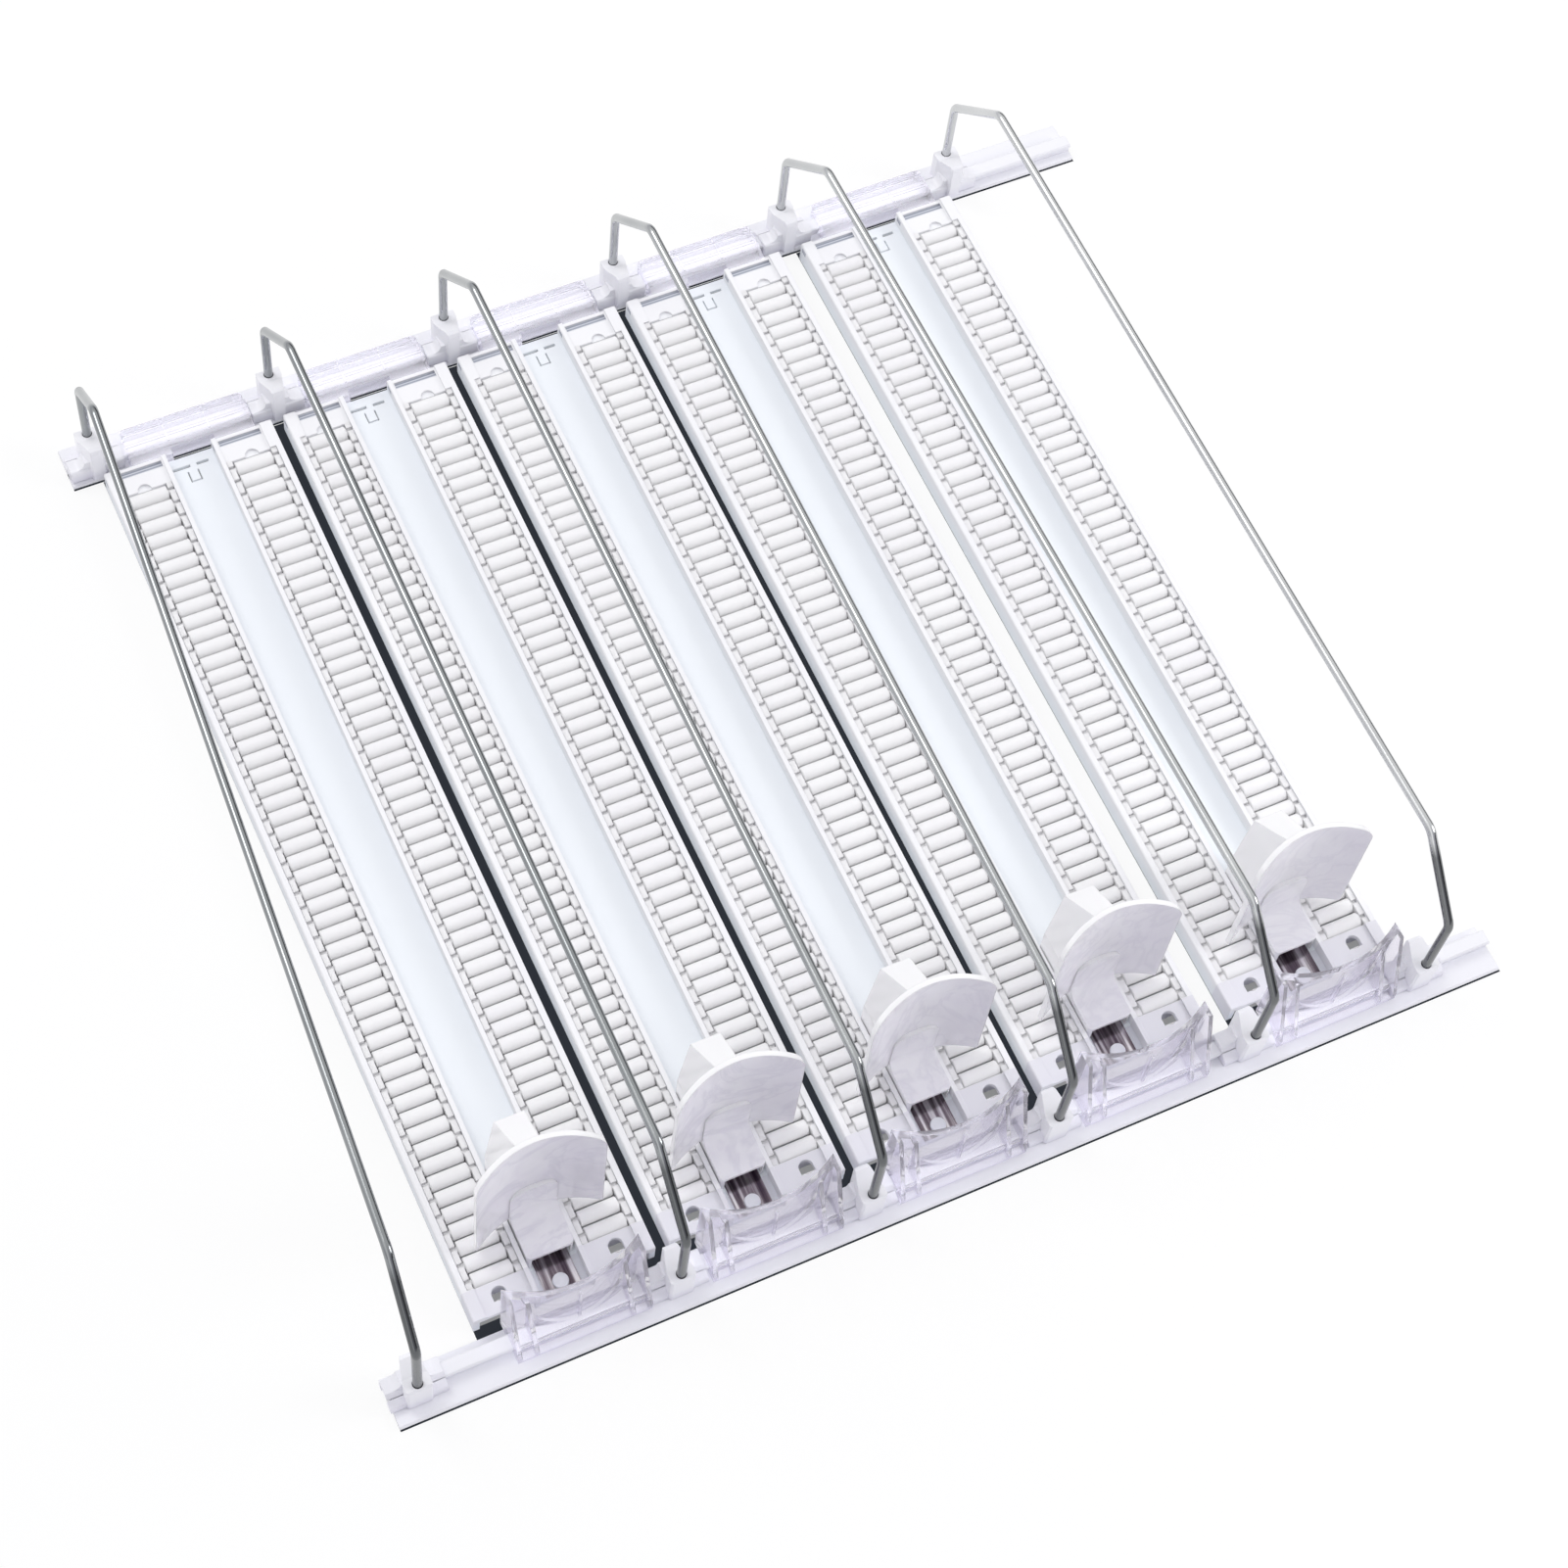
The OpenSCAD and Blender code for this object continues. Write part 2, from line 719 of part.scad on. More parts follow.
module front_stop() {
  reach = rail_depth + rail_room;
  difference() {
    union() {
      difference() {
        intersection() {
          stop_ring(0, stop_wall, stop_top);
          stop_front_half(stop_width);
        }
        intersection() {
          stop_ring(-1, scoop_depth, stop_top + 1);
          along_y(0, stop_radius) scoop_outline();
        }
      }
      // Base over the rail's rib
      along_x(stop_width)
        polygon([
          [clip_front, seat],
          [clip_front, seat + clip_skin],
          [rail_rib_offset - clip_gap - clip_skin, seat + clip_skin],
          [rail_rib_offset - clip_gap - clip_skin, shoulder_top - 0.4],
          [rail_rib_offset - clip_gap - clip_skin + 0.4, shoulder_top],
          [rib_end + clip_gap + clip_skin, shoulder_top],
          [rib_end + clip_gap + clip_skin, seat]
        ]);
      // Middle rib on the wall's front face
      intersection() {
        translate([-0.5, stop_wall_place, seat]) cube([1, stop_wall, stop_top - 6 - seat]);
        stop_ring(0, stop_wall, stop_top);
      }
      intersection() {
        for (side = [-1, 1]) {
          translate([side * (stop_width - stop_rib) / 2, 0, 0]) stop_side_rib(stop_top);
          translate([side * ((stop_width - stop_rib) / 2 - stop_rib_step), 0, 0])
            stop_side_rib(stop_top - 5);
        }
        translate([0, stop_wall_place + stop_radius, seat])
          difference() {
            cylinder(r = stop_radius + stop_width, h = stop_top);
            translate([0, 0, -1])
              cylinder(r = stop_radius - stop_wall, h = stop_top + 2, $fn = 160);
          }
      }
      // Tongues that reach into the track's hollow front end
      tongues(rib_end, reach + tongue_in, 3);
    }
    rail_space(stop_width + 2);
  }
}

// Two tongues into a track's hollow end, from y = start to y = end.
module tongues(start, end, thickness) {
  top = plate_top - end_skin - clip_gap;
  for (side = [0, 1])
    mirror([side, 0, 0])
      translate([tongue_from, start, top - thickness])
        cube([tongue_to - tongue_from, end - start, thickness]);
}

// Rear clip, drawn in rail places

module rear_clip() {
  reach = rail_depth + rail_room - clip_gap;
  difference() {
    union() {
      difference() {
        along_x(rear_clip_width)
          polygon([
            [clip_front, seat],
            [clip_front, rear_clip_top - 1],
            [clip_front + 1, rear_clip_top],
            [rail_rib_offset - 1.4, rear_clip_top],
            [rail_rib_offset - 1.4, rear_clip_top - 0.5],
            [rail_rib_offset, rear_clip_top - 0.5],
            [rail_rib_offset, rear_clip_top],
            [rib_end - 2, rear_clip_top],
            [rib_end - 2, rear_clip_top - 0.5],
            [rib_end - 0.8, rear_clip_top - 0.5],
            [rib_end - 0.8, rear_clip_top],
            [rib_end + 2, rear_clip_top],
            [reach - 2.6, rear_clip_top - 0.8],
            [reach, rear_clip_top - 1.6],
            [reach, seat]
          ]);
        translate([-rear_notch_width / 2, reach - rear_notch_depth, 0])
          cube([rear_notch_width, rear_notch_depth + 1, rear_clip_top + 1]);
        for (side = [-1, 1]) {
          // Rounded outer corners
          translate([side * (rear_clip_width / 2 - 3), clip_front + 3, 0])
            corner_cut(side, 3, rear_clip_top + 1);
          // Cross grooves beside the middle
          translate([side * rear_clip_width / 6 - 0.4, clip_front + 1.5, rear_clip_top - 0.5])
            cube([0.8, rib_end - clip_front, 1]);
        }
      }
      tongues(rib_end + 2, rail_depth + rail_room + tongue_in, 2.4);
    }
    rail_space(rear_clip_width + 2);
  }
}

// What a rounded corner leaves out.
module corner_cut(side, radius, height) {
  difference() {
    translate([side > 0 ? 0 : -radius - 1, -radius - 1, 0])
      cube([radius + 1, radius + 1, height]);
    translate([0, 0, -1]) cylinder(r = radius, h = height + 2);
  }
}

// Dividers

// The wire's corner points in its own plane, from the front leg to the back.
function wire_points(span) = [
  [0, shoulder_top],
  [0, knee_height],
  [front_slope, wire_height],
  [span - back_slope, wire_height],
  [span, back_knee_height],
  [span, shoulder_top]
];

function heading(a, b) = atan2(b[1] - a[1], b[0] - a[0]);

// A round wire through points (u, z), bent at each inner point. The straight
// lengths reach a little into the bends, which are slightly swollen.
module bent_wire(points) {
  last = len(points) - 1;
  for (i = [0:last - 1]) {
    angle = heading(points[i], points[i + 1]);
    cut_a = i == 0 ? 0 : bend_cut(points, i) - bend_lap;
    cut_b = i == last - 1 ? 0 : bend_cut(points, i + 1) - bend_lap;
    length = norm(points[i + 1] - points[i]) - cut_a - cut_b;
    translate([points[i][0], points[i][1], 0])
      rotate([0, 0, angle])
        translate([cut_a, 0, 0])
          rotate([0, 90, 0]) cylinder(d = wire_diameter, h = length);
  }
  for (i = [1:last - 1]) {
    angle = heading(points[i - 1], points[i]);
    turn = heading(points[i], points[i + 1]) - angle;
    cut = bend_cut(points, i);
    translate([points[i][0], points[i][1], 0])
      rotate([0, 0, angle])
        translate([-cut, -wire_bend, 0])
          rotate([0, 0, 90 + turn])
            rotate_extrude(angle = -turn)
              translate([wire_bend, 0]) circle(d = wire_diameter + 2 * bend_swell);
  }
}

// Length that the bend at point i takes from the lines on both sides.
function bend_cut(points, i) =
  wire_bend * tan(abs(
    heading(points[i], points[i + 1]) - heading(points[i - 1], points[i])) / 2);

// A divider between its front and back feet, which may stand askew.
module divider_wire(i) {
  y = rail_outer_y - leg_place;
  across = back_foot_x[i - 1] - front_foot_x[i - 1];
  span = norm([across, 2 * y]);
  translate([front_foot_x[i - 1], -y, 0])
    rotate([0, 0, atan2(2 * y, across)])
      rotate([90, 0, 0]) bent_wire(wire_points(span));
}

// A foot, drawn in rail places: a wedge-shaped ridge on a clip with
// shoulders over the rib and a low lip on the outer flange.
module clip_foot() {
  inner = rail_depth + 0.2;
  outer_r = ridge_width / 2;
  inner_r = ridge_inner_width / 2;
  flare = 3.4;
  difference() {
    union() {
      intersection() {
        linear_extrude(height = max(clip_foot_top, foot_inner_top) + 1)
          polygon([
            [-outer_r + 0.8, clip_front],
            [outer_r - 0.8, clip_front],
            [outer_r, clip_front + 0.8],
            [outer_r, clip_front + 4],
            [inner_r, inner],
            [-inner_r, inner],
            [-outer_r, clip_front + 4],
            [-outer_r, clip_front + 0.8]
          ]);
        along_x(clip_foot_width)
          polygon([
            [clip_front, seat],
            [clip_front, clip_foot_top - 0.8],
            [clip_front + 0.6, clip_foot_top],
            [leg_place + wire_diameter / 2 + 1, clip_foot_top],
            [inner - 2, foot_inner_top],
            [inner - 0.6, foot_inner_top - 0.6],
            [inner, foot_inner_top - 2],
            [inner, seat]
          ]);
      }
      // Clip body: low lip outside, shoulders over the rib
      along_x(clip_foot_width)
        polygon([
          [clip_front + 1, seat],
          [clip_front + 1, 4.2],
          [clip_front + 1.6, 4.8],
          [rail_rib_offset + 0.4, 4.8 + 1.6],
          [rail_rib_offset + 1.2, shoulder_top - 0.3],
          [rail_rib_offset + 1.6, shoulder_top],
          [rib_end + clip_gap + 1, shoulder_top],
          [rib_end + clip_gap + 1.6, shoulder_top - 0.6],
          [rib_end + clip_gap + 1.6, seat]
        ]);
      // Hollow flares between the ridge and the shoulders
      difference() {
        translate([-outer_r - flare, rail_rib_offset + 1.6, shoulder_top - 1])
          cube([2 * (outer_r + flare), rib_end + clip_gap - rail_rib_offset - 0.6, flare + 1]);
        for (side = [-1, 1])
          translate([side * (outer_r + flare), 0, shoulder_top + flare])
            rotate([-90, 0, 0])
              cylinder(r = flare, h = rail_depth + 2);
      }
    }
    rail_space(clip_foot_width + 2);
    // Seat of the wire's leg
    translate([0, leg_place, shoulder_top])
      cylinder(d = wire_diameter + 2 * clip_gap, h = clip_foot_top);
  }
}

// One module for each sub-part

module front_rail() {
  color(white) on_front_rail(rails_right - rail_stagger / 2) rail();
}

module back_rail() {
  color(white) on_back_rail(rails_right + rail_stagger / 2) rail();
}

module track_1() {
  color(white) at_lane(1) track();
}

module track_2() {
  color(white) at_lane(2) track();
}

module track_3() {
  color(white) at_lane(3) track();
}

module track_4() {
  color(white) at_lane(4) track();
}

module track_5() {
  color(white) at_lane(5) track();
}

module roller_strip_1_left() {
  color(white) strip_at(1, -1);
}

module roller_strip_1_right() {
  color(white) strip_at(1, 1);
}

module roller_strip_2_left() {
  color(white) strip_at(2, -1);
}

module roller_strip_2_right() {
  color(white) strip_at(2, 1);
}

module roller_strip_3_left() {
  color(white) strip_at(3, -1);
}

module roller_strip_3_right() {
  color(white) strip_at(3, 1);
}

module roller_strip_4_left() {
  color(white) strip_at(4, -1);
}

module roller_strip_4_right() {
  color(white) strip_at(4, 1);
}

module roller_strip_5_left() {
  color(white) strip_at(5, -1);
}

module roller_strip_5_right() {
  color(white) strip_at(5, 1);
}

module spring_band_1() {
  color(steel) at_lane(1) spring_band();
}

module spring_band_2() {
  color(steel) at_lane(2) spring_band();
}

module spring_band_3() {
  color(steel) at_lane(3) spring_band();
}

module spring_band_4() {
  color(steel) at_lane(4) spring_band();
}

module spring_band_5() {
  color(steel) at_lane(5) spring_band();
}

module pusher_1() {
  color(white) at_lane(1) pusher();
}

module pusher_2() {
  color(white) at_lane(2) pusher();
}

module pusher_3() {
  color(white) at_lane(3) pusher();
}

module pusher_4() {
  color(white) at_lane(4) pusher();
}

module pusher_5() {
  color(white) at_lane(5) pusher();
}

module coil_spring_1() {
  color(steel) at_lane(1) coil_spring();
}

module coil_spring_2() {
  color(steel) at_lane(2) coil_spring();
}

module coil_spring_3() {
  color(steel) at_lane(3) coil_spring();
}

module coil_spring_4() {
  color(steel) at_lane(4) coil_spring();
}

module coil_spring_5() {
  color(steel) at_lane(5) coil_spring();
}

module front_stop_at(i) {
  color(clear) on_front_rail(lane_x[i - 1] + stop_shifts[i - 1]) front_stop();
}

module front_stop_1() {
  front_stop_at(1);
}

module front_stop_2() {
  front_stop_at(2);
}

module front_stop_3() {
  front_stop_at(3);
}

module front_stop_4() {
  front_stop_at(4);
}

module front_stop_5() {
  front_stop_at(5);
}

module rear_clip_at(i) {
  color(clear) on_back_rail(lane_x[i - 1] + rear_clip_shift) rear_clip();
}

module rear_clip_1() {
  rear_clip_at(1);
}

module rear_clip_2() {
  rear_clip_at(2);
}

module rear_clip_3() {
  rear_clip_at(3);
}

module rear_clip_4() {
  rear_clip_at(4);
}

module rear_clip_5() {
  rear_clip_at(5);
}

module divider_wire_1() {
  color(wire_grey) divider_wire(1);
}

module divider_wire_2() {
  color(wire_grey) divider_wire(2);
}

module divider_wire_3() {
  color(wire_grey) divider_wire(3);
}

module divider_wire_4() {
  color(wire_grey) divider_wire(4);
}

module divider_wire_5() {
  color(wire_grey) divider_wire(5);
}

module divider_wire_6() {
  color(wire_grey) divider_wire(6);
}

module front_foot_1() {
  color(white) on_front_rail(front_foot_x[0]) clip_foot();
}

module front_foot_2() {
  color(white) on_front_rail(front_foot_x[1]) clip_foot();
}

module front_foot_3() {
  color(white) on_front_rail(front_foot_x[2]) clip_foot();
}

module front_foot_4() {
  color(white) on_front_rail(front_foot_x[3]) clip_foot();
}

module front_foot_5() {
  color(white) on_front_rail(front_foot_x[4]) clip_foot();
}

module front_foot_6() {
  color(white) on_front_rail(front_foot_x[5]) clip_foot();
}

module back_foot_1() {
  color(white) on_back_rail(back_foot_x[0]) clip_foot();
}

module back_foot_2() {
  color(white) on_back_rail(back_foot_x[1]) clip_foot();
}

module back_foot_3() {
  color(white) on_back_rail(back_foot_x[2]) clip_foot();
}

module back_foot_4() {
  color(white) on_back_rail(back_foot_x[3]) clip_foot();
}

module back_foot_5() {
  color(white) on_back_rail(back_foot_x[4]) clip_foot();
}

module back_foot_6() {
  color(white) on_back_rail(back_foot_x[5]) clip_foot();
}

front_rail();
back_rail();
track_1();
track_2();
track_3();
track_4();
track_5();
roller_strip_1_left();
roller_strip_1_right();
roller_strip_2_left();
roller_strip_2_right();
roller_strip_3_left();
roller_strip_3_right();
roller_strip_4_left();
roller_strip_4_right();
roller_strip_5_left();
roller_strip_5_right();
spring_band_1();
spring_band_2();
spring_band_3();
spring_band_4();
spring_band_5();
pusher_1();
pusher_2();
pusher_3();
pusher_4();
pusher_5();
coil_spring_1();
coil_spring_2();
coil_spring_3();
coil_spring_4();
coil_spring_5();
front_stop_1();
front_stop_2();
front_stop_3();
front_stop_4();
front_stop_5();
rear_clip_1();
rear_clip_2();
rear_clip_3();
rear_clip_4();
rear_clip_5();
divider_wire_1();
divider_wire_2();
divider_wire_3();
divider_wire_4();
divider_wire_5();
divider_wire_6();
front_foot_1();
front_foot_2();
front_foot_3();
front_foot_4();
front_foot_5();
front_foot_6();
back_foot_1();
back_foot_2();
back_foot_3();
back_foot_4();
back_foot_5();
back_foot_6();
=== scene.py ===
import json
import math

import bpy
from mathutils import Matrix, Vector

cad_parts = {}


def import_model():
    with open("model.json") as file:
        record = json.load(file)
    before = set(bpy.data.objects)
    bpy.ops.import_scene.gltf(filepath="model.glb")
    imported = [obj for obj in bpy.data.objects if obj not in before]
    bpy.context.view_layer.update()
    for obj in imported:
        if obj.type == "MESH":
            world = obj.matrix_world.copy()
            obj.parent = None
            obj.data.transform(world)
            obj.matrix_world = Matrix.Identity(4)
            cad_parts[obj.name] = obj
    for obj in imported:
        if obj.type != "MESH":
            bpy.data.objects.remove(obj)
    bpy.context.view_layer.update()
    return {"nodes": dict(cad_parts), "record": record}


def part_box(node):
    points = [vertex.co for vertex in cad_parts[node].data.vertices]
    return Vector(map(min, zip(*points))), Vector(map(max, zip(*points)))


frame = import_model()
NODES = frame["nodes"]
LANES = range(1, 6)


# Node helpers

class Build:
    """A short way to write the nodes of a new material or world."""

    def __init__(self, name, kind="Material"):
        data = bpy.data.worlds if kind == "World" else bpy.data.materials
        self.owner = data.new(name)
        self.owner.use_nodes = True
        self.tree = self.owner.node_tree
        self.tree.nodes.clear()
        self.out = self.node("Output" + kind)

    def node(self, kind, **settings):
        n = self.tree.nodes.new("ShaderNode" + kind)
        for key, value in settings.items():
            setattr(n, key, value)
        return n

    def link(self, a, b):
        self.tree.links.new(a, b)

    def coords(self, axes=(1.0, 1.0, 1.0)):
        """Object coordinates. A number under 1 in axes draws a pattern out along
        that axis."""
        source = self.node("TexCoord")
        mapping = self.node("Mapping")
        mapping.inputs["Scale"].default_value = axes
        self.link(source.outputs["Object"], mapping.inputs["Vector"])
        return mapping.outputs["Vector"]

    def noise(self, scale, detail=3.0, rough=0.5, axes=(1.0, 1.0, 1.0), distortion=0.0):
        n = self.node("TexNoise")
        n.inputs["Scale"].default_value = scale
        n.inputs["Detail"].default_value = detail
        n.inputs["Roughness"].default_value = rough
        n.inputs["Distortion"].default_value = distortion
        self.link(self.coords(axes), n.inputs["Vector"])
        return n.outputs["Fac"]

    def ramp(self, fac, stops):
        n = self.node("ValToRGB")
        while len(n.color_ramp.elements) < len(stops):
            n.color_ramp.elements.new(0.5)
        for e, (pos, col) in zip(n.color_ramp.elements, stops):
            e.position = pos
            e.color = (*col, 1.0)
        self.link(fac, n.inputs["Fac"])
        return n.outputs["Color"]

    def value_range(self, fac, first, last):
        """Goes from first to last as fac goes from 0 to 1."""
        n = self.node("MapRange")
        n.inputs["To Min"].default_value = first
        n.inputs["To Max"].default_value = last
        self.link(fac, n.inputs["Value"])
        return n.outputs["Result"]

    def math(self, kind, a, b):
        n = self.node("Math", operation=kind)
        for socket, v in zip(n.inputs, (a, b)):
            if isinstance(v, (int, float)):
                socket.default_value = v
            else:
                self.link(v, socket)
        return n.outputs[0]

    def mix(self, fac, a, b):
        """Colour a where fac is 0 and b where it is 1."""
        n = self.node("Mix", data_type="RGBA")
        for index, v in ((0, fac), (6, a), (7, b)):  # the sockets for colours
            s = n.inputs[index]
            if isinstance(v, (int, float)):
                s.default_value = v
            elif isinstance(v, tuple):
                s.default_value = (*v, 1.0)
            else:
                self.link(v, s)
        return n.outputs[2]

    def bump(self, height, strength, distance, normal=None):
        n = self.node("Bump")
        n.inputs["Strength"].default_value = strength
        n.inputs["Distance"].default_value = distance
        self.link(height, n.inputs["Height"])
        if normal is not None:
            self.link(normal, n.inputs["Normal"])
        return n.outputs["Normal"]

    def principled(self, **values):
        n = self.node("BsdfPrincipled")
        for key, v in values.items():
            s = n.inputs[key.replace("_", " ")]
            if isinstance(v, bpy.types.NodeSocket):
                self.link(v, s)
            else:
                s.default_value = (*v, 1.0) if s.type == "RGBA" else v
        return n

    def within(self, value, low, high):
        """1 where value lies between low and high, else 0."""
        n = self.node("Math", operation="COMPARE")
        n.inputs[1].default_value = (low + high) / 2
        n.inputs[2].default_value = (high - low) / 2
        self.link(value, n.inputs[0])
        return n.outputs[0]

    def smooth(self, value, start, end, first=0.0, last=1.0):
        """Goes from first to last as value goes from start to end."""
        result = self.value_range(value, first, last)
        result.node.inputs["From Min"].default_value = start
        result.node.inputs["From Max"].default_value = end
        return result

    def place(self):
        """The X, Y and Z of the shaded point, in metres."""
        n = self.node("SeparateXYZ")
        self.link(self.coords(), n.inputs[0])
        return n.outputs

    def done(self, shader):
        self.link(shader, self.out.inputs["Surface"])
        return self.owner


# Materials

# Stretches in metres where painted shade or painted light lies, or over which it sets in
RIB_SHADE_HEIGHTS = (0.006, 0.0083)
PUSHER_SHADE_HEIGHTS = (0.022, 0.028)
PUSHER_LIGHTENING_X = (-0.13, 0.16)
WIRE_LIGHTENING_X = (-0.12, 0.22)
LEG_SHADE_HEIGHTS = (0.0700, 0.0745)
LEG_SHADE_Y = (-0.12, -0.11)


def moulded(name, light, shade, low, rough=0.36, bevel=0.0003, flat=0.0, milk=0.0,
            painted_tone_heights=(0.0085, 0.0036), band=None, front=None):
    """White moulded plastic: soft mottling, flow lines along the part, fine
    spark-eroded grain and rounded edges. The colour turns to low over the
    given heights: painted shade low down, and on the rollers painted light
    that lifts their shaded sides. flat turns the shading normal towards the
    top, which lightens the sides, and milk lets light through. band is a
    stretch along Y painted with the shade of fine ribs, and front one that is
    painted in the shade of pusher and stop."""
    b = Build(name)
    wide = b.noise(scale=22.0, detail=2.0)
    flow = b.noise(scale=60.0, rough=0.55, axes=(1.0, 0.12, 1.0))
    tone = b.mix(b.value_range(flow, first=0.0, last=0.5), wide, flow)
    colour = b.ramp(tone, [(0.25, shade), (0.72, light)])
    place = b.place()
    # Painted shade low down: the colour turns to low over the given heights (a lighter low on the
    # rollers, painted light on their shaded sides)
    colour = b.mix(b.smooth(place["Z"], *painted_tone_heights, last=0.85), colour, low)
    if front:
        colour = b.mix(b.math("MULTIPLY", b.within(place["Y"], *front), 0.55), colour,
                       (0.74, 0.73, 0.81))
    if band:
        # Painted shade of fine ribs: dark blue-grey stripes across the band
        ribs = b.node("TexWave", bands_direction="Y", wave_profile="SIN")
        ribs.inputs["Scale"].default_value = 300.0
        b.link(b.coords(), ribs.inputs["Vector"])
        ribbed = b.math("MULTIPLY", b.within(place["Y"], *band),
                        b.within(place["Z"], *RIB_SHADE_HEIGHTS))
        share = b.value_range(ribs.outputs["Fac"], first=0.35, last=1.0)
        colour = b.mix(b.math("MULTIPLY", ribbed, share), colour, (0.30, 0.33, 0.42))
    fine = b.noise(scale=5200.0, detail=2.0, rough=0.6)
    roughness = b.value_range(b.noise(scale=300.0), first=rough - 0.05, last=rough + 0.07)
    edge = b.node("Bevel", samples=4)
    edge.inputs["Radius"].default_value = bevel
    normal = edge.outputs["Normal"]
    if flat:
        turned = b.node("Mix", data_type="VECTOR")  # vectors go in at 4 and 5, out at 1
        turned.inputs[0].default_value = flat
        b.link(normal, turned.inputs[4])
        turned.inputs[5].default_value = (0.0, 0.0, 1.0)
        unit = b.node("VectorMath", operation="NORMALIZE")
        b.link(turned.outputs[1], unit.inputs[0])
        normal = unit.outputs[0]
    p = b.principled(Base_Color=colour, Roughness=roughness, IOR=1.47,
                     Subsurface_Weight=milk, Subsurface_Radius=(1.0, 1.0, 1.0),
                     Subsurface_Scale=0.003,
                     Normal=b.bump(fine, strength=0.3, distance=0.00002, normal=normal))
    return b.done(p.outputs["BSDF"])


def milky():
    """The pushers' plastic, marbled. Faces that look to the front and low ones
    that look up carry a painted lilac-grey shade, and the rest is white. The
    painted shade is darker to the right of a hollow paddle, and painted light
    makes it lighter in the lanes to the right. The plastic lets a little light
    in and is glossy."""
    b = Build("pusher_white")
    cloud = b.noise(scale=46.0, detail=4.0, rough=0.55, axes=(1.0, 1.0, 0.7), distortion=1.6)
    fine = b.noise(scale=150.0, axes=(1.0, 1.0, 0.5), distortion=0.8)
    tone = b.mix(0.3, cloud, fine)
    # Marbled lilac-grey: the painted shade kept on front faces and low up-facing ones
    colour = b.ramp(tone, [(0.30, (0.83, 0.81, 0.875)), (0.52, (0.895, 0.885, 0.93)),
                           (0.74, (0.955, 0.945, 0.975))])
    veins = b.noise(scale=24.0, detail=4.0, rough=0.55, axes=(1.0, 1.0, 0.8), distortion=3.0)
    none, third = (0.0, 0.0, 0.0), (0.34, 0.34, 0.34)
    colour = b.mix(b.ramp(veins, [(0.44, none), (0.50, third), (0.56, none)]),
                   colour, (0.62, 0.60, 0.70))
    face = b.node("SeparateXYZ")
    b.link(b.node("TexCoord").outputs["Normal"], face.inputs[0])
    # Painted shade: darker on faces that turn to the left, as on the right of a hollow paddle
    colour = b.mix(b.smooth(face.outputs["X"], 0.35, -0.75, last=0.45), colour,
                   (0.62, 0.60, 0.69))
    place = b.place()
    high = b.math("MAXIMUM", b.smooth(place["Z"], *PUSHER_SHADE_HEIGHTS),
                  b.smooth(face.outputs["Z"], 0.3, 0.6, first=1.0, last=0.0))
    # Painted light: lighter in the lanes to the right
    colour = b.mix(b.smooth(place["X"], *PUSHER_LIGHTENING_X, last=0.30), colour,
                   (0.97, 0.965, 0.985))
    # Painted light: faces that don't look to the front turn white, except low ones that look up,
    # which keep the painted shade
    white = b.math("MULTIPLY", b.smooth(face.outputs["Y"], -0.55, -0.20), high)
    colour = b.mix(white, colour, (0.945, 0.94, 0.96))
    roughness = b.value_range(cloud, first=0.16, last=0.30)
    edge = b.node("Bevel", samples=4)
    edge.inputs["Radius"].default_value = 0.0005
    normal = b.bump(fine, strength=0.12, distance=0.0002, normal=edge.outputs["Normal"])
    p = b.principled(Base_Color=colour, Roughness=roughness, Normal=normal, IOR=1.48,
                     Subsurface_Weight=0.25, Subsurface_Radius=(1.0, 0.9, 1.0),
                     Subsurface_Scale=0.002, Coat_Weight=0.35, Coat_Roughness=0.08)
    return b.done(p.outputs["BSDF"])


def clear_plastic(name, ior, clearness, stops):
    """Clear moulded plastic: nearly colourless, lilac where the view passes
    along a wall or rib, slightly milky, with faint flow marks in its gloss."""
    b = Build(name)
    flow = b.noise(scale=90.0, detail=2.0, axes=(1.0, 0.4, 1.6), distortion=0.4)
    roughness = b.value_range(flow, first=0.03, last=0.07)
    weight = b.node("LayerWeight")
    weight.inputs["Blend"].default_value = 0.5
    tint = b.ramp(weight.outputs["Facing"], stops)
    p = b.principled(Base_Color=tint, Roughness=roughness, IOR=ior,
                     Transmission_Weight=clearness)
    thin = b.node("BsdfTransparent")
    thin.inputs["Color"].default_value = (0.93, 0.93, 0.96, 1.0)
    path = b.node("LightPath")
    mixer = b.node("MixShader")
    b.link(path.outputs["Is Shadow Ray"], mixer.inputs["Fac"])
    b.link(p.outputs["BSDF"], mixer.inputs[1])
    b.link(thin.outputs["BSDF"], mixer.inputs[2])
    return b.done(mixer.outputs["Shader"])


def steel_wire():
    """Drawn steel: grey, with fine lines along the wire, painted shade on the front
    legs and slopes and painted light on the wires to the right."""
    b = Build("wire_steel")
    lines = b.noise(scale=400.0, detail=2.0, axes=(1.0, 0.02, 0.1))
    cloud = b.noise(scale=30.0, detail=2.0)
    tone = b.mix(0.25, cloud, lines)
    colour = b.ramp(tone, [(0.3, (0.27, 0.285, 0.295)), (0.7, (0.37, 0.385, 0.395))])
    # Painted light: a lighter tone for the wires to the right
    bright = b.ramp(tone, [(0.3, (0.60, 0.61, 0.62)), (0.7, (0.72, 0.73, 0.735))])
    place = b.place()
    colour = b.mix(b.smooth(place["X"], *WIRE_LIGHTENING_X), colour, bright)
    # Painted shade: the front legs and slopes below the rods are darkened
    leg = b.math("MULTIPLY", b.smooth(place["Z"], *LEG_SHADE_HEIGHTS, first=1.0, last=0.0),
                 b.smooth(place["Y"], *LEG_SHADE_Y, first=1.0, last=0.0))
    colour = b.mix(b.math("MULTIPLY", leg, 0.85), colour, (0.10, 0.105, 0.11))
    rough = b.value_range(cloud, first=0.17, last=0.22)
    p = b.principled(Base_Color=colour, Metallic=1.0, Roughness=rough)
    return b.done(p.outputs["BSDF"])


